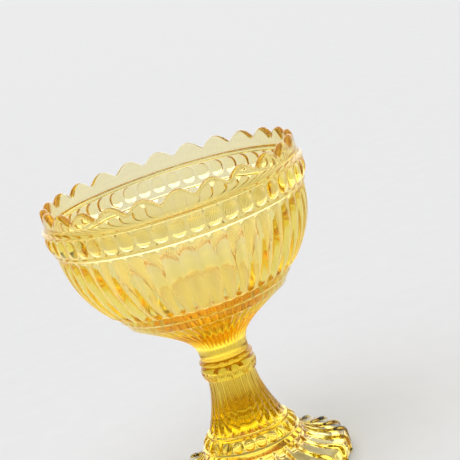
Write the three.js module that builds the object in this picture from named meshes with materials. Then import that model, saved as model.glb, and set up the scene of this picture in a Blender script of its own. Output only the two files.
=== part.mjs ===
// Footed dessert bowl in amber pressed glass.
// Three pieces fused end to end on one axis: the bowl, a thin collar, and the stand.
// Millimetres, +Z up, origin at the centre of the foot's underside.
import * as THREE from 'three';

// Main heights
const standHeight = 57.3;
const collarHeight = 2.6;
const bowlHeight = 88.1;

// Pattern round the axis: each repeat holds one scallop, one stem rib, one foot panel, and two flutes
const repeatCount = 24;
const flutesPerRepeat = 2;
const stepsPerLobe = 4;
const rowsPerCurve = 5;

// Foot
const footRadius = 42.8;
const footLip = 5.2;
const footWall = 4.3;
const skirtRise = 10.8;
const skirtShoulder = 7.6;
const skirtSweep = 10;
const skirtDip = 10.5;
const panelDepth = 1.4;
const ribFade = 3;

// Hollow under the foot
const hollowLip = 3.5;
const hollowThroatRadius = 14.5;
const hollowThroatHeight = 17.5;
const hollowSweep = 4.5;
const hollowFall = 8.5;
const hollowCrown = 11.5;

// Beaded ring between foot and stem
const ringRadius = 23.5;
const ringHeight = 10.2;
const ringShoulder = 8.2;
const ringLean = 1;
const ringBead = 0.8;

// Stem and knop
const stemBaseRadius = 17.9;
const stemRadius = 10.8;
const stemFlare = 14;
const stemDraw = 0.1;
const stemGroove = 0.8;
const knopHeight = 8.2;
const knopFlare = 1.5;
const knopTuck = 2;
const knopSwell = 3.6;

// Collar's edge, and the round faces that it is fused to
const jointRadius = 11.3;
const collarBulge = 2.5;

// Neck, and the stepped ring under the flutes
const neckHeight = 25.3;
const neckRise = 8.8;
const neckDraw = 0.65;
const neckTurn = 2.7;
const neckTurnRise = 11.6;
const neckGroove = 0.5;
const underRingRadius = 36.2;
const underRingFlare = 2.1;
const underRingHeight = 3.3;
const fluteStep = 3.2;

// Fluted body
const bodyStep = 1.1;
const fluteFootRadius = 41.6;
const fluteDepth = 1.4;

// Beaded band and the ledge over it
const bandFootStep = 0.6;
const bandLean = 0.9;
const bandHeight = 11.7;
const beadMargin = 1.6;
const beadRise = 1.8;
const ledgeReach = 1.9;
const ledgeHeight = 1;

// Scalloped rim
const rimRadius = 57.9;
const rimHeight = 10;
const rimCove = 3;
const rimWall = 3.6;
const rimRound = 0.9;
const scallopDepth = 4.6;

// Inside of the bowl
const floorThickness = 19.1;
const insideFullness = 2.1;
const insideRows = 6;

// Heights, stacked from the table up
const ringFoot = footLip + skirtRise;
const stemFoot = ringFoot + ringHeight;
const knopFoot = standHeight - knopHeight;
const bowlFoot = standHeight + collarHeight;
const underRingFoot = bowlFoot + neckHeight;
const fluteFoot = underRingFoot + underRingHeight + fluteStep;
const rimTop = bowlFoot + bowlHeight;
const bandTop = rimTop - rimHeight;
const fluteTop = bandTop - bandHeight;

// Radii of the bowl's outside, stepped in and out from the rim's
const bodyRadius = rimRadius - bodyStep;
const bandFootRadius = rimRadius - bandFootStep;
const bandTopRadius = rimRadius + bandLean;
const ledgeRadius = rimRadius + ledgeReach;

// One place on an outline. The groove is cut on the lines between two lobes, the panel is sunk half way
// between those lines, and the drop is how far the rim falls between two scallops.
function place(radius, height, { groove = 0, panel = 0, drop = 0 } = {}) {
  return { radius, height, groove, panel, drop };
}

// Evenly spaced places along a curve, with the relief given by the share of the way along
function along(curve, reliefAt = () => ({})) {
  const places = [];
  for (let row = 0; row <= rowsPerCurve; row += 1) {
    const share = row / rowsPerCurve;
    const { x, y } = curve.getPoint(share);
    places.push(place(x, y, reliefAt(share)));
  }
  return places;
}

// How far a lobe has risen: nothing at either end, and soon its full height between them
function swell(share) {
  return Math.sqrt(Math.max(0, Math.sin(Math.PI * share)));
}

// Turns an outline round the axis. The lines between lobes start on +X, and so do the peaks of the scallops.
function turn(outline, lobeCount) {
  const steps = lobeCount * stepsPerLobe;
  const flat = outline.map(({ radius, height }) => new THREE.Vector2(radius, height));
  const geometry = new THREE.LatheGeometry(flat, steps);
  const position = geometry.attributes.position;
  for (let step = 0; step <= steps; step += 1) {
    const angle = ((step % steps) / steps) * 2 * Math.PI;
    const across = Math.abs(Math.sin((angle * lobeCount) / 2));
    const valley = 1 - Math.abs(Math.cos((angle * repeatCount) / 2));
    outline.forEach(({ radius, height, groove, panel, drop }, row) => {
      const reach = radius - groove * (1 - across) - panel * across;
      const index = step * outline.length + row;
      position.setXYZ(index, reach * Math.cos(angle), reach * Math.sin(angle), height - drop * valley);
    });
  }
  geometry.computeVertexNormals();
  return geometry;
}

function glassPiece(name, geometry) {
  const material = new THREE.MeshStandardMaterial({ color: 0xe9b92c, roughness: 0.05, metalness: 0 });
  const mesh = new THREE.Mesh(geometry, material);
  mesh.name = name;
  return mesh;
}

// Lower pressing: hollow ribbed foot, beaded ring, ribbed stem and knop
function stand() {
  const hollowMouth = footRadius - footWall;
  const hollowDome = new THREE.EllipseCurve(
    0, hollowThroatHeight, hollowThroatRadius, hollowCrown, Math.PI / 2, 0, true,
  );
  const hollowSkirt = new THREE.CubicBezierCurve(
    new THREE.Vector2(hollowThroatRadius, hollowThroatHeight),
    new THREE.Vector2(hollowThroatRadius + hollowSweep, hollowThroatHeight - hollowFall),
    new THREE.Vector2(hollowMouth, hollowLip),
    new THREE.Vector2(hollowMouth, 0),
  );
  const skirt = new THREE.CubicBezierCurve(
    new THREE.Vector2(footRadius, footLip),
    new THREE.Vector2(footRadius, footLip + skirtShoulder),
    new THREE.Vector2(ringRadius + skirtSweep, ringFoot - skirtDip),
    new THREE.Vector2(ringRadius, ringFoot),
  );
  const ring = new THREE.QuadraticBezierCurve(
    new THREE.Vector2(ringRadius, ringFoot),
    new THREE.Vector2(ringRadius - ringLean, ringFoot + ringShoulder),
    new THREE.Vector2(stemBaseRadius, stemFoot),
  );
  const stem = new THREE.QuadraticBezierCurve(
    new THREE.Vector2(stemBaseRadius, stemFoot),
    new THREE.Vector2(stemRadius + stemDraw, stemFoot + stemFlare),
    new THREE.Vector2(stemRadius, knopFoot),
  );
  const knop = new THREE.CubicBezierCurve(
    new THREE.Vector2(stemRadius, knopFoot),
    new THREE.Vector2(stemRadius + knopFlare, knopFoot + knopTuck),
    new THREE.Vector2(jointRadius + knopSwell, standHeight),
    new THREE.Vector2(jointRadius, standHeight),
  );
  const outline = [
    ...along(hollowDome),
    ...along(hollowSkirt).slice(1),
    place(footRadius, 0, { panel: panelDepth }),
    ...along(skirt, (share) => ({ panel: panelDepth * (1 - share ** ribFade) })),
    ...along(ring, (share) => ({ groove: ringBead * swell(share) })).slice(1),
    ...along(stem, () => ({ groove: stemGroove })).slice(1),
    ...along(knop, (share) => ({ groove: stemGroove * (1 - share) })).slice(1),
    place(0, standHeight),
  ];
  return glassPiece('stand', turn(outline, repeatCount));
}

// Thin wafer with a rounded edge, fused between the two pressings
function collar() {
  const edge = new THREE.QuadraticBezierCurve(
    new THREE.Vector2(jointRadius, standHeight),
    new THREE.Vector2(jointRadius + collarBulge, standHeight + collarHeight / 2),
    new THREE.Vector2(jointRadius, bowlFoot),
  );
  const outline = [place(0, standHeight), ...along(edge), place(0, bowlFoot)];
  return glassPiece('collar', turn(outline, repeatCount));
}

// Upper pressing: ribbed neck, stepped ring, flutes, beaded band, scalloped rim and smooth inside
function bowl() {
  const neck = new THREE.CubicBezierCurve(
    new THREE.Vector2(jointRadius, bowlFoot),
    new THREE.Vector2(jointRadius - neckDraw, bowlFoot + neckRise),
    new THREE.Vector2(jointRadius + neckTurn, bowlFoot + neckTurnRise),
    new THREE.Vector2(underRingRadius, underRingFoot),
  );

  // The flutes stand on an ellipse that is upright at their top
  const fluteLength = fluteTop - fluteFoot;
  const bodyCurve = fluteLength / Math.sqrt(1 - (fluteFootRadius / bodyRadius) ** 2);
  const flutes = [];
  for (let row = 0; row <= rowsPerCurve; row += 1) {
    const share = row / rowsPerCurve;
    const fall = fluteLength * (1 - share);
    const crest = bodyRadius * Math.sqrt(1 - (fall / bodyCurve) ** 2);
    const rise = fluteDepth * swell(share);
    flutes.push(place(crest - fluteDepth + rise, fluteTop - fall, { groove: rise }));
  }

  // Round beads on a band that leans out
  const beadFoot = fluteTop + beadMargin;
  const beadHeight = bandHeight - beadMargin - ledgeHeight;
  const beads = [];
  for (let row = 0; row <= rowsPerCurve; row += 1) {
    const share = row / rowsPerCurve;
    const rise = beadRise * swell(share);
    const radius = THREE.MathUtils.lerp(bandFootRadius, bandTopRadius, share) + rise;
    beads.push(place(radius, beadFoot + beadHeight * share, { groove: rise }));
  }

  const rimInside = rimRadius - rimWall;
  const rim = [
    place(ledgeRadius, bandTop),
    place(rimRadius, bandTop + rimCove),
    place(rimRadius, rimTop - rimRound, { drop: scallopDepth }),
    place(rimRadius - rimRound, rimTop, { drop: scallopDepth }),
    place(rimInside + rimRound, rimTop, { drop: scallopDepth }),
    place(rimInside, rimTop - rimRound, { drop: scallopDepth }),
  ];

  const insideDepth = bandTop - bowlFoot - floorThickness;
  const inside = [];
  for (let row = 0; row <= insideRows; row += 1) {
    const angle = (row / insideRows) * (Math.PI / 2);
    const radius = rimInside * Math.cos(angle) ** (2 / insideFullness);
    const depth = insideDepth * Math.sin(angle) ** (2 / insideFullness);
    inside.push(place(row === insideRows ? 0 : radius, bandTop - depth));
  }

  const outline = [
    place(0, bowlFoot),
    ...along(neck, (share) => ({ groove: neckGroove * (1 - share) })),
    place(underRingRadius + underRingFlare, underRingFoot + underRingHeight),
    ...flutes,
    ...beads,
    ...rim,
    ...inside,
  ];
  return glassPiece('bowl', turn(outline, repeatCount * flutesPerRepeat));
}

const dessertBowl = new THREE.Group();
dessertBowl.add(stand(), collar(), bowl());

export default dessertBowl;
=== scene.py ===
import math

import bmesh
import bpy
import numpy as np
from mathutils import Matrix, Vector


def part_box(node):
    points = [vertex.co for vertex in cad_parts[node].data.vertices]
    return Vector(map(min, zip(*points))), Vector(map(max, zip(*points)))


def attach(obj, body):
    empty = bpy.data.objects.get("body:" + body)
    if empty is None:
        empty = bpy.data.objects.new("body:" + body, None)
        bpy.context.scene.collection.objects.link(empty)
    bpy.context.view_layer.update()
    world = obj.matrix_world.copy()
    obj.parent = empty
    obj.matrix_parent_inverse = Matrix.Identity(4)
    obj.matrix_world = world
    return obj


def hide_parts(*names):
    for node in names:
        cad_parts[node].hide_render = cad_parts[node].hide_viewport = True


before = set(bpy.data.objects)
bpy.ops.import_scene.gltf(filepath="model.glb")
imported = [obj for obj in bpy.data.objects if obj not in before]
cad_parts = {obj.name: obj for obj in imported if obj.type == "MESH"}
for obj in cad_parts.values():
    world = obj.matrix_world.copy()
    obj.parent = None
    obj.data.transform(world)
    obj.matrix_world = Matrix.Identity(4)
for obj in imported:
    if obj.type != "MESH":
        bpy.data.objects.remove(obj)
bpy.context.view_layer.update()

MM = 0.001

# Pattern round the axis, and how finely each piece is turned
REPEATS = 24
FLUTES = 2 * REPEATS
BOWL_COLUMNS = 16 * FLUTES
STAND_COLUMNS = 24 * REPEATS
COLLAR_COLUMNS = 192

# Edges sharper than this, in degrees, stay crisp
CREASE_ANGLE = 38

# In metres: points nearer than the weld are made one, and faces thinner than the sliver are dropped
WELD = 1e-7
SLIVER = 1e-8

# Sizes that the solids give, in mm
FOOT_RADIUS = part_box("stand")[1].x / MM
STAND_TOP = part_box("stand")[1].z / MM
BOWL_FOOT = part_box("bowl")[0].z / MM
RIM_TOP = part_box("bowl")[1].z / MM

# The other sizes of the glass are in mm too. A pair is a step outwards and a step up, from the place named.
# The pieces are fused hot, so at a joint they run into one another by the overlap.
JOINT_RADIUS = 11.3
JOINT_OVERLAP = 0.02

# Neck, from the edge of its joint
NECK_HEIGHT = 25.3
NECK_WAIST = (-0.65, 8.8)
NECK_TURN = (2.7, 11.6)
NECK_GROOVE_SHARE = 0.036
NECK_GROOVE_FADE = 1.5

# Stepped ring under the flutes, from the edge of the neck's top
UNDER_RING_RADIUS = 36.2
UNDER_RING_HEIGHT = 6.5
UNDER_RING_STEPS = ((0.7, 0.4), (1.8, 2.4), (2.3, 3.2), (2.4, 3.6), (2.7, 3.9), (3.1, 4.1), (4.0, 5.0))

# Fluted body
BODY_RADIUS = 56.8
FLUTE_FOOT_RADIUS = 41.6
FLUTE_DEPTH = 1.6
FLUTE_FULLNESS = 0.85
FLUTE_FOOT_ROUND = 4.5
FLUTE_TOP_ROUND = 2.2

# Ridge in the space between the flutes and the band, from the top of the flutes
RIDGE_SPACE = 2.0
RIDGE_FOOT = (0.1, 0.1)
RIDGE_CREST = (1.4, 0.8)
RIDGE_HEIGHT = 1.9

# Beaded band, from its foot
BAND_HEIGHT = 9.7
BAND_FOOT_RADIUS = 57.6
BAND_TOP_RADIUS = 58.5
BAND_TURN = (0.7, 2.0)
BAND_UPRIGHT = 5.0
BEAD_MIDDLE = 4.5
BEAD_RISE = 1.2
BEAD_WIDTH = 7.0
BEAD_HEIGHT = 7.8
BEAD_FULLNESS = 0.75

# Ledge over the beads, and the cove over it, from the ledge's edge at the band's top
LEDGE_RADIUS = 59.7
LEDGE_DEPTH = 1.2
LEDGE_STEPS = ((-0.5, -1.0), (-0.1, -0.8), (0.0, -0.4), (-0.1, 0.0), (-0.3, 0.15))
COVE_FOOT = (-0.5, 0.2)
COVE_TURN = (-1.7, 0.8)
COVE_HEIGHT = 3.2

# Scalloped rim
RIM_HEIGHT = 10.0
RIM_RADIUS = 57.9
RIM_WALL = 3.6
RIM_ROUND = 1.6
SCALLOP_DEPTH = 4.6
SCALLOP_SOFTENING = 6

# Inside of the bowl, over the thick glass of its base
BASE_THICKNESS = 19.1
INSIDE_FULLNESS = 2.1

# Collar
COLLAR_SWELL = 2.4
COLLAR_FACE_INSET = 0.8

# Foot and its ribs
FOOT_WALL = 4.3
FOOT_LIP = 5.2
FOOT_EDGE = 0.8
FOOT_REST = 2.4
SKIRT_RISE = 10.8
SKIRT_SHOULDER = 7.6
SKIRT_SWEEP = 10.0
SKIRT_DIP = 10.5
RIB_RISE = 1.25
RIB_SHARE = 0.34
RIB_FADE = 5.0
RIB_SOFTENING = 2

# Hollow under the foot, with its flare from the throat, and its mouth's edge from the mouth at the table
HOLLOW_RADIUS = 14.5
HOLLOW_THROAT = 16.0
HOLLOW_CROWN = 6.5
HOLLOW_FLARE = (6.5, -5.0)
HOLLOW_LIP = 4.5
MOUTH_EDGE = ((0.0, 0.4), (0.15, 0.1), (0.4, 0.0))

# Beaded ring, from the edge of its foot
RING_RADIUS = 23.5
RING_HEIGHT = 10.2
RING_STEP = 0.2
RING_SHOULDER = (-1.0, 8.2)
RING_BEAD_MIDDLE = 6.4
RING_BEAD_RISE = 1.2
RING_BEAD_WIDTH = 5.0
RING_BEAD_HEIGHT = 5.2
RING_CHANNEL_SLOPE = 4.0

# Stem, with its draw from its own radius at its foot
STEM_BASE_RADIUS = 17.9
STEM_RADIUS = 11.1
STEM_DRAW = (0.1, 14.0)
STEM_GROOVE = 0.8
STEM_GROOVE_FADE = 2.0

# Knop and its row of scoops, from the edge of the knop's foot
KNOP_RADIUS = 12.2
KNOP_HEIGHT = 6.6
KNOP_STEP = 0.3
KNOP_STEP_HEIGHTS = (0.1, 0.2, 0.4)
KNOP_SWELL = (0.7, 2.2)
KNOP_SHOULDER = (1.2, 5.3)
KNOP_FACE_INSET = 0.6
SCOOP_DEPTH = 0.45
SCOOP_WIDTH = 3.0
SCOOP_HEIGHT = 2.6
SCOOP_MIDDLE = 3.2

# Heights from the table up
RING_FOOT = FOOT_LIP + SKIRT_RISE
STEM_FOOT = RING_FOOT + RING_HEIGHT
KNOP_FOOT = STAND_TOP - KNOP_HEIGHT
UNDER_RING_FOOT = BOWL_FOOT + NECK_HEIGHT
FLUTE_FOOT = UNDER_RING_FOOT + UNDER_RING_HEIGHT
BAND_TOP = RIM_TOP - RIM_HEIGHT
BAND_FOOT = BAND_TOP - BAND_HEIGHT
FLUTE_TOP = BAND_FOOT - RIDGE_SPACE
RIM_FOOT = BAND_TOP + COVE_HEIGHT

# Amber glass: tint at each face, gloss, and the colour that a depth of glass gives
GLASS_TINT = (1, 0.955, 0.88, 1)
GLASS_GLOSS = (1, 0.9, 0.55, 1)
GLASS_IOR = 1.51
GLASS_DEPTH_COLOUR = (0.984, 0.894, 0.04, 1)
GLASS_DENSITY = 125
WAVE_SCALE = 140
WAVE_DETAIL = 1
WAVE_STRENGTH = 0.12
WAVE_HEIGHT = 0.0004

# Pale floor: its reach in metres, its finish, and the two tones of its grain
FLOOR_REACH = 60.0
FLOOR_ROUGHNESS = 0.9
FLOOR_GLOSS = 0.1
GRAIN_SCALE = 60
GRAIN_DETAIL = 4
GRAIN_DARK = (0.81, 0.81, 0.82, 1)
GRAIN_PALE = (0.85, 0.85, 0.855, 1)

# Studio: level of the room, the level seen behind the floor, and soft glows in the room,
# each as (azimuth from the back, elevation, spread, level) with its angles in degrees
ROOM_LEVEL = 0.05
BACKDROP_LEVEL = 0.83
GLOWS = ((0, 12, 55, 1.65), (65, 12, 50, 1.7), (0, 90, 50, 1.1), (-140, 58, 45, 1.15))

# Camera: angles in degrees, its place from the middle of the rim in metres, and its lens in mm
CAMERA_ELEVATION = 12.20
CAMERA_ROLL = 17.74
CAMERA_TURN = -3.29
CAMERA_ACROSS = 0.01911972
CAMERA_BELOW = 0.03420068
CAMERA_AWAY = 0.6242268
SENSOR_WIDTH = 36
LENS_LENGTH = 111.67826
CLIP_END = 200

# How often light may bounce, in all and off gloss
LIGHT_BOUNCES = 24
GLOSSY_BOUNCES = 12


def bezier(points, count):
    """Points along a Bezier curve of any order."""
    share = np.linspace(0, 1, count)[:, None]
    order = len(points) - 1
    return sum(
        math.comb(order, k) * (1 - share) ** (order - k) * share**k * np.array(point)
        for k, point in enumerate(points)
    )


def line(start, end, count):
    return bezier((start, end), count)


def travelled(outline):
    """Length of the outline up to each of its points."""
    steps = np.hypot(*np.diff(outline, axis=0).T)
    return np.concatenate([[0], np.cumsum(steps)])[:, None]


def eased(share):
    """Rises from 0 to 1 and levels off at the end."""
    return 1 - (1 - np.clip(share, 0, 1)) ** 2


def angles(columns):
    return np.arange(columns) / columns * 2 * math.pi


def across(columns, count):
    """Place across each of the lobes: -1 and 1 on the lines between them, 0 half way."""
    lobe = angles(columns) * count / (2 * math.pi)
    return (2 * (lobe - np.floor(lobe)) - 1)[None]


def softened(relief, times=1):
    """Rounds creases, round the axis and along the outline."""
    for _ in range(times):
        relief = (np.roll(relief, 1, 1) + 2 * relief + np.roll(relief, -1, 1)) / 4
        padded = np.pad(relief, ((1, 1), (0, 0)), mode="edge")
        relief = (padded[:-2] + 2 * relief + padded[2:]) / 4
    return relief


def rounded(share, fullness):
    """Fall of a round lobe, from 0 on its crest to 1 on its edge; the fuller, the steeper at the edge."""
    return (1 - np.sqrt(1 - fullness * share)) / (1 - math.sqrt(1 - fullness))


def sunk(outline, relief):
    """Moves each point of the turned outline inwards, square to the outline."""
    run = np.gradient(outline, axis=0)
    length = np.hypot(run[:, 0], run[:, 1])
    out_radius = (run[:, 1] / length)[:, None]
    out_height = (-run[:, 0] / length)[:, None]
    return outline[:, :1] - relief * out_radius, outline[:, 1:] - relief * out_height


def plain(outline, columns):
    return sunk(np.asarray(outline, float), np.zeros((len(outline), columns)))


def glass_piece(name, stretches, columns, node):
    """One closed glass body from stretches of outline, which run from the axis back to the axis."""
    radius = np.concatenate([stretch[0] for stretch in stretches])
    height = np.concatenate([stretch[1] for stretch in stretches])
    theta = angles(columns)
    points = np.stack([radius * np.cos(theta), radius * np.sin(theta), height], -1).reshape(-1, 3) * MM
    row = np.arange(len(radius) - 1)[:, None] * columns
    column = np.arange(columns)[None]
    following = (column + 1) % columns
    quads = np.stack([row + column, row + following, row + columns + following, row + columns + column], -1)

    mesh = bpy.data.meshes.new(name)
    mesh.from_pydata(points.tolist(), [], quads.reshape(-1, 4).tolist())
    body = bmesh.new()
    body.from_mesh(mesh)
    bmesh.ops.remove_doubles(body, verts=body.verts, dist=WELD)
    bmesh.ops.dissolve_degenerate(body, edges=body.edges, dist=SLIVER)
    body.to_mesh(mesh)
    body.free()
    mesh.shade_smooth()
    mesh.set_sharp_from_angle(angle=math.radians(CREASE_ANGLE))
    piece = bpy.data.objects.new(name, mesh)
    bpy.context.scene.collection.objects.link(piece)
    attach(piece, "root")
    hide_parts(node)
    return piece


def neck_and_ring(columns):
    """Neck that flares into a cone, with a rib under each flute, and the stepped ring over it."""
    foot = BOWL_FOOT - JOINT_OVERLAP / 2
    face = line((0, foot), (JOINT_RADIUS, foot), count=6)
    joint = np.array((JOINT_RADIUS, BOWL_FOOT))
    top = np.array((UNDER_RING_RADIUS, UNDER_RING_FOOT))
    neck = bezier(((JOINT_RADIUS, foot), joint + NECK_WAIST, joint + NECK_TURN, top), count=120)
    run = travelled(neck)
    fade = np.clip(run / NECK_GROOVE_FADE, 0, 1) * np.clip((run[-1] - run) / NECK_GROOVE_FADE, 0, 1)
    ribs = NECK_GROOVE_SHARE * neck[:, :1] * across(columns, FLUTES) ** 2 * fade
    ring = top + np.array(UNDER_RING_STEPS)
    return [plain(face, columns), sunk(neck, softened(ribs)), plain(ring, columns)]


def flutes(columns):
    """Rounded flutes with round ends, on an ellipse that is upright at their top."""
    length = FLUTE_TOP - FLUTE_FOOT
    fall = length * np.linspace(1, 0, num=110)
    flute_curve = length / math.sqrt(1 - (FLUTE_FOOT_RADIUS / BODY_RADIUS) ** 2)
    crest = np.stack([BODY_RADIUS * np.sqrt(1 - (fall / flute_curve) ** 2), FLUTE_TOP - fall], -1)
    run = travelled(crest)
    foot_end = np.clip(1 - run / FLUTE_FOOT_ROUND, 0, 1)
    top_end = np.clip(1 - (run[-1] - run) / FLUTE_TOP_ROUND, 0, 1)
    off_crest = np.clip(across(columns, FLUTES) ** 2 + foot_end**2, 0, 1) * (1 - top_end**2)
    return [sunk(crest, softened(FLUTE_DEPTH * rounded(off_crest, FLUTE_FULLNESS)))]


def beaded_band(columns):
    """Ridge over the flutes, the band with its beads, which leans out, the ledge and the cove to the rim."""
    flute_top = np.array((BODY_RADIUS, FLUTE_TOP))
    ridge_top = (BAND_FOOT_RADIUS, FLUTE_TOP + RIDGE_HEIGHT)
    ridge = bezier((flute_top + RIDGE_FOOT, flute_top + RIDGE_CREST, ridge_top), count=12)
    band_foot = np.array((BAND_FOOT_RADIUS, BAND_FOOT))
    band_upright = (BAND_TOP_RADIUS, BAND_FOOT + BAND_UPRIGHT)
    band_top = (BAND_TOP_RADIUS, BAND_TOP - LEDGE_DEPTH)
    band = bezier((band_foot, band_foot + BAND_TURN, band_upright, band_top), count=60)
    pitch = 2 * math.pi * band[:, :1] / FLUTES
    sideways = across(columns, FLUTES) * pitch / BEAD_WIDTH
    upright = 2 * (band[:, 1:] - BAND_FOOT - BEAD_MIDDLE) / BEAD_HEIGHT
    beads = BEAD_RISE * np.clip(1 - sideways**2 - upright**2, 0, 1) ** BEAD_FULLNESS
    edge = np.array((LEDGE_RADIUS, BAND_TOP))
    ledge = edge + np.array(LEDGE_STEPS)
    cove = bezier((edge + COVE_FOOT, edge + COVE_TURN, (RIM_RADIUS, RIM_FOOT)), count=10)
    return [plain(ridge, columns), sunk(band, softened(-beads)), plain(ledge, columns), plain(cove, columns)]


def scalloped_rim(columns):
    """Rim with rounded peaks, and valleys like a softened V, from its outside over its edge to its inside."""
    drop = SCALLOP_DEPTH * (1 - np.abs(np.cos(angles(columns) * REPEATS / 2)))[None]
    drop = softened(drop, SCALLOP_SOFTENING)
    inside_radius = RIM_RADIUS - RIM_WALL
    edge = RIM_TOP - RIM_ROUND
    outer_mid = RIM_RADIUS - RIM_ROUND
    inner_mid = inside_radius + RIM_ROUND

    def rows(radii, heights, shares):
        """Rows of the rim, each lowered by its share of the drop between the peaks."""
        radii, heights, shares = (np.asarray(value, float)[:, None] for value in (radii, heights, shares))
        return radii + 0 * drop, heights - drop * shares

    up = np.linspace(0, 1, num=14)[1:]
    turn_out = np.radians(np.linspace(0, 90, num=6))[1:]
    flat = np.linspace(0, 1, num=6)[1:-1]
    turn_in = np.radians(np.linspace(90, 180, num=6))
    down = np.linspace(1, 0, num=16)[1:]
    return [
        rows(RIM_RADIUS + 0 * up, RIM_FOOT + (edge - RIM_FOOT) * up, up),
        rows(outer_mid + RIM_ROUND * np.cos(turn_out), edge + RIM_ROUND * np.sin(turn_out), 1 + 0 * turn_out),
        rows(outer_mid + (inner_mid - outer_mid) * flat, RIM_TOP + 0 * flat, 1 + 0 * flat),
        rows(inner_mid + RIM_ROUND * np.cos(turn_in), edge + RIM_ROUND * np.sin(turn_in), 1 + 0 * turn_in),
        rows(inside_radius + 0 * down, BAND_TOP + (edge - BAND_TOP) * down, down),
    ]


def smooth_inside(columns):
    """Inside of the bowl, from the height of the band's top down to the middle of its floor."""
    turn = np.linspace(0, math.pi / 2, num=120)[1:]
    depth = BAND_TOP - BOWL_FOOT - BASE_THICKNESS
    inside = np.stack([
        (RIM_RADIUS - RIM_WALL) * np.cos(turn).clip(0) ** (2 / INSIDE_FULLNESS),
        BAND_TOP - depth * np.sin(turn) ** (2 / INSIDE_FULLNESS),
    ], -1)
    inside[-1, 0] = 0
    return [plain(inside, columns)]


def bowl_glass():
    stretches = []
    for part in (neck_and_ring, flutes, beaded_band, scalloped_rim, smooth_inside):
        stretches += part(BOWL_COLUMNS)
    return glass_piece("bowl_glass", stretches, BOWL_COLUMNS, "bowl")


def collar_glass():
    foot = STAND_TOP - JOINT_OVERLAP / 2
    top = BOWL_FOOT + JOINT_OVERLAP / 2
    middle = (JOINT_RADIUS + COLLAR_SWELL, (foot + top) / 2)
    face_radius = JOINT_RADIUS - COLLAR_FACE_INSET
    edge = bezier(((JOINT_RADIUS, foot), middle, (JOINT_RADIUS, top)), count=20)
    under = line((0, foot), (face_radius, foot), count=4)
    over = line((face_radius, top), (0, top), count=4)
    outline = np.concatenate([under, edge, over])
    return glass_piece("collar_glass", [plain(outline, COLLAR_COLUMNS)], COLLAR_COLUMNS, "collar")


def hollow_under_foot(columns):
    """Hollow from its crown down to the table, and the ring that the foot rests on."""
    turn = np.linspace(math.pi / 2, 0, num=24)
    crown = np.stack([HOLLOW_RADIUS * np.cos(turn), HOLLOW_THROAT + HOLLOW_CROWN * np.sin(turn)], -1)
    crown[0, 0] = 0
    mouth = FOOT_RADIUS - FOOT_WALL
    mouth_edge = np.array((mouth, 0.0)) + np.array(MOUTH_EDGE)
    throat = np.array((HOLLOW_RADIUS, HOLLOW_THROAT))
    flare = bezier((throat, throat + HOLLOW_FLARE, (mouth, HOLLOW_LIP), mouth_edge[0]), count=40)
    rest = [(FOOT_RADIUS - FOOT_REST, 0.0)]
    return [plain(np.concatenate([crown, flare[1:], mouth_edge[1:], rest]), columns)]


def ribbed_foot(columns):
    """Lip and skirt, with a round rib on each line between two panels."""
    lip = bezier(((FOOT_RADIUS - FOOT_EDGE, 0.0), (FOOT_RADIUS, 0.0), (FOOT_RADIUS, FOOT_EDGE)), count=6)
    wall = line((FOOT_RADIUS, FOOT_EDGE), (FOOT_RADIUS, FOOT_LIP), count=10)
    skirt = bezier(((FOOT_RADIUS, FOOT_LIP), (FOOT_RADIUS, FOOT_LIP + SKIRT_SHOULDER),
                    (RING_RADIUS + SKIRT_SWEEP, RING_FOOT - SKIRT_DIP), (RING_RADIUS, RING_FOOT)), count=80)
    outline = np.concatenate([lip, wall[1:], skirt[1:]])
    run = travelled(outline)
    from_rib = np.clip((1 - np.abs(across(columns, REPEATS))) / RIB_SHARE, 0, 1)
    panels = RIB_RISE * (1 - np.sqrt(1 - from_rib**2)) * eased((run[-1] - run) / RIB_FADE)
    return [sunk(outline, softened(panels, RIB_SOFTENING))]


def beaded_ring(columns):
    """Ring with a channel round it, beads in the channel, and a plain ridge over them."""
    start = (RING_RADIUS - RING_STEP, RING_FOOT + RING_STEP)
    shoulder = np.array((RING_RADIUS, RING_FOOT)) + RING_SHOULDER
    ring = bezier((start, shoulder, (STEM_BASE_RADIUS, STEM_FOOT)), count=70)
    pitch = 2 * math.pi * ring[:, :1] / REPEATS
    sideways = across(columns, REPEATS) * pitch / RING_BEAD_WIDTH
    upright = 2 * (ring[:, 1:] - RING_FOOT - RING_BEAD_MIDDLE) / RING_BEAD_HEIGHT
    beads = np.sqrt(np.clip(1 - sideways**2 - upright**2, 0, 1))
    channel = np.clip(RING_CHANNEL_SLOPE * (1 - np.abs(upright)) + 1, 0, 1)
    return [sunk(ring, softened(RING_BEAD_RISE * (1 - beads) * channel))]


def ribbed_stem(columns):
    draw = np.array((STEM_RADIUS, STEM_FOOT)) + STEM_DRAW
    stem = bezier(((STEM_BASE_RADIUS, STEM_FOOT), draw, (STEM_RADIUS, KNOP_FOOT)), count=72)[1:]
    fade = eased(travelled(stem) / STEM_GROOVE_FADE)
    return [sunk(stem, softened(STEM_GROOVE * across(columns, REPEATS) ** 2 * fade))]


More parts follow.
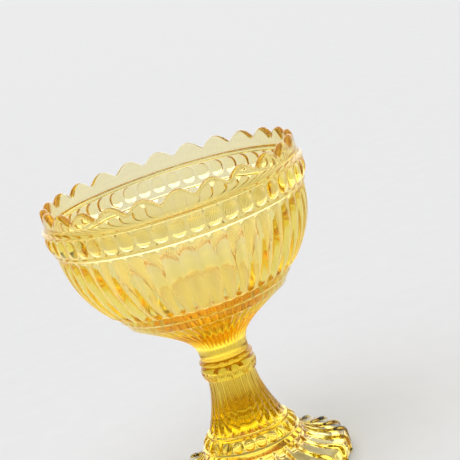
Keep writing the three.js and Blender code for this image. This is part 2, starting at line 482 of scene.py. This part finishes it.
def scooped_knop(columns):
    """Belted knop that steps out over the stem, with a row of small scoops, and its flat top."""
    low, high, start = (KNOP_FOOT + height for height in KNOP_STEP_HEIGHTS)
    top = STAND_TOP + JOINT_OVERLAP / 2
    step = [(STEM_RADIUS + KNOP_STEP, low), (KNOP_RADIUS - KNOP_STEP, high)]
    foot = np.array((KNOP_RADIUS, KNOP_FOOT))
    swell = foot + KNOP_SWELL
    shoulder = foot + KNOP_SHOULDER
    knop = bezier(((KNOP_RADIUS, start), swell, shoulder, (JOINT_RADIUS, top)), count=60)
    sideways = across(columns, REPEATS) * math.pi * KNOP_RADIUS / REPEATS / (SCOOP_WIDTH / 2)
    upright = 2 * (knop[:, 1:] - KNOP_FOOT - SCOOP_MIDDLE) / SCOOP_HEIGHT
    scoops = SCOOP_DEPTH * np.clip(1 - sideways**2 - upright**2, 0, 1)
    face = line((JOINT_RADIUS - KNOP_FACE_INSET, top), (0, top), count=4)
    return [plain(step, columns), sunk(knop, softened(scoops)), plain(face, columns)]


def stand_glass():
    stretches = []
    for part in (hollow_under_foot, ribbed_foot, beaded_ring, ribbed_stem, scooped_knop):
        stretches += part(STAND_COLUMNS)
    return glass_piece("stand_glass", stretches, STAND_COLUMNS, "stand")


def amber_glass():
    """Clear amber glass: the colour comes from the depth of glass, with the faint waves of pressing."""
    material = bpy.data.materials.new("amber_glass")
    material.use_nodes = True
    nodes, links = material.node_tree.nodes, material.node_tree.links
    shader = nodes["Principled BSDF"]
    shader.inputs["Base Color"].default_value = GLASS_TINT
    shader.inputs["Transmission Weight"].default_value = 1
    shader.inputs["Specular Tint"].default_value = GLASS_GLOSS
    shader.inputs["IOR"].default_value = GLASS_IOR
    shader.inputs["Roughness"].default_value = 0.0

    depth = nodes.new("ShaderNodeVolumeAbsorption")
    depth.inputs["Color"].default_value = GLASS_DEPTH_COLOUR
    depth.inputs["Density"].default_value = GLASS_DENSITY
    links.new(depth.outputs["Volume"], nodes["Material Output"].inputs["Volume"])

    place = nodes.new("ShaderNodeTexCoord")
    waves = nodes.new("ShaderNodeTexNoise")
    waves.inputs["Scale"].default_value = WAVE_SCALE
    waves.inputs["Detail"].default_value = WAVE_DETAIL
    bump = nodes.new("ShaderNodeBump")
    bump.inputs["Strength"].default_value = WAVE_STRENGTH
    bump.inputs["Distance"].default_value = WAVE_HEIGHT
    links.new(place.outputs["Object"], waves.inputs["Vector"])
    links.new(waves.outputs["Fac"], bump.inputs["Height"])
    links.new(bump.outputs["Normal"], shader.inputs["Normal"])
    return material


def floor():
    """A wide pale floor with a faint paper grain."""
    mesh = bpy.data.meshes.new("floor")
    corners = [(-FLOOR_REACH, -FLOOR_REACH, 0), (FLOOR_REACH, -FLOOR_REACH, 0),
               (FLOOR_REACH, FLOOR_REACH, 0), (-FLOOR_REACH, FLOOR_REACH, 0)]
    mesh.from_pydata(corners, [], [(0, 1, 2, 3)])
    table = bpy.data.objects.new("floor", mesh)
    bpy.context.scene.collection.objects.link(table)
    material = bpy.data.materials.new("pale_floor")
    material.use_nodes = True
    nodes, links = material.node_tree.nodes, material.node_tree.links
    shader = nodes["Principled BSDF"]
    shader.inputs["Roughness"].default_value = FLOOR_ROUGHNESS
    shader.inputs["Specular IOR Level"].default_value = FLOOR_GLOSS
    place = nodes.new("ShaderNodeTexCoord")
    grain = nodes.new("ShaderNodeTexNoise")
    grain.inputs["Scale"].default_value = GRAIN_SCALE
    grain.inputs["Detail"].default_value = GRAIN_DETAIL
    tone = nodes.new("ShaderNodeValToRGB")
    tone.color_ramp.elements[0].color = GRAIN_DARK
    tone.color_ramp.elements[1].color = GRAIN_PALE
    links.new(place.outputs["Object"], grain.inputs["Vector"])
    links.new(grain.outputs["Fac"], tone.inputs["Fac"])
    links.new(tone.outputs["Color"], shader.inputs["Base Color"])
    mesh.materials.append(material)


def studio():
    """A dim room with soft glows, each brightest in its middle and gone at its spread."""
    world = bpy.data.worlds.new("studio")
    bpy.context.scene.world = world
    world.use_nodes = True
    nodes, links = world.node_tree.nodes, world.node_tree.links
    direction = nodes.new("ShaderNodeTexCoord")
    room = nodes.new("ShaderNodeValue")
    room.outputs["Value"].default_value = ROOM_LEVEL
    level = room.outputs["Value"]
    for azimuth, elevation, spread, strength in GLOWS:
        side, rise = math.radians(azimuth), math.radians(elevation)
        nearness = nodes.new("ShaderNodeVectorMath")
        nearness.operation = "DOT_PRODUCT"
        nearness.inputs[1].default_value = (
            math.sin(side) * math.cos(rise), math.cos(side) * math.cos(rise), math.sin(rise),
        )
        links.new(direction.outputs["Generated"], nearness.inputs[0])
        ramp = nodes.new("ShaderNodeMapRange")
        ramp.interpolation_type = "SMOOTHSTEP"
        ramp.inputs["From Min"].default_value = math.cos(math.radians(spread))
        ramp.inputs["From Max"].default_value = 1
        ramp.inputs["To Max"].default_value = strength
        links.new(nearness.outputs["Value"], ramp.inputs["Value"])
        total = nodes.new("ShaderNodeMath")
        links.new(level, total.inputs[0])
        links.new(ramp.outputs["Result"], total.inputs[1])
        level = total.outputs["Value"]
    rays = nodes.new("ShaderNodeLightPath")
    seen = nodes.new("ShaderNodeMix")
    seen.inputs["B"].default_value = BACKDROP_LEVEL
    links.new(rays.outputs["Is Camera Ray"], seen.inputs["Factor"])
    links.new(level, seen.inputs["A"])
    links.new(seen.outputs["Result"], nodes["Background"].inputs["Color"])


def camera():
    """A rolled camera that looks down on the bowl a little, from just beside its axis."""
    elevation = math.radians(CAMERA_ELEVATION)
    roll = math.radians(CAMERA_ROLL)
    turn = Matrix.Rotation(math.radians(CAMERA_TURN), 3, "Z")
    right = Vector((1, 0, 0))
    up = Vector((0, math.sin(elevation), math.cos(elevation)))
    back = Vector((0, -math.cos(elevation), math.sin(elevation)))
    spot = right * CAMERA_ACROSS - up * CAMERA_BELOW + back * CAMERA_AWAY
    rolled_right = right * math.cos(roll) - up * math.sin(roll)
    rolled_up = up * math.cos(roll) + right * math.sin(roll)
    pose = Matrix((turn @ rolled_right, turn @ rolled_up, turn @ back)).transposed().to_4x4()
    pose.translation = turn @ spot + Vector((0, 0, RIM_TOP * MM))
    lens = bpy.data.cameras.new("camera")
    lens.sensor_width = SENSOR_WIDTH
    lens.lens = LENS_LENGTH
    lens.clip_end = CLIP_END
    holder = bpy.data.objects.new("camera", lens)
    bpy.context.scene.collection.objects.link(holder)
    holder.matrix_world = pose
    bpy.context.scene.camera = holder


glass = amber_glass()
for piece in (bowl_glass(), collar_glass(), stand_glass()):
    piece.data.materials.append(glass)
floor()
studio()
camera()

scene = bpy.context.scene
scene.view_settings.view_transform = "Standard"
scene.cycles.max_bounces = LIGHT_BOUNCES
scene.cycles.transmission_bounces = LIGHT_BOUNCES
scene.cycles.glossy_bounces = GLOSSY_BOUNCES
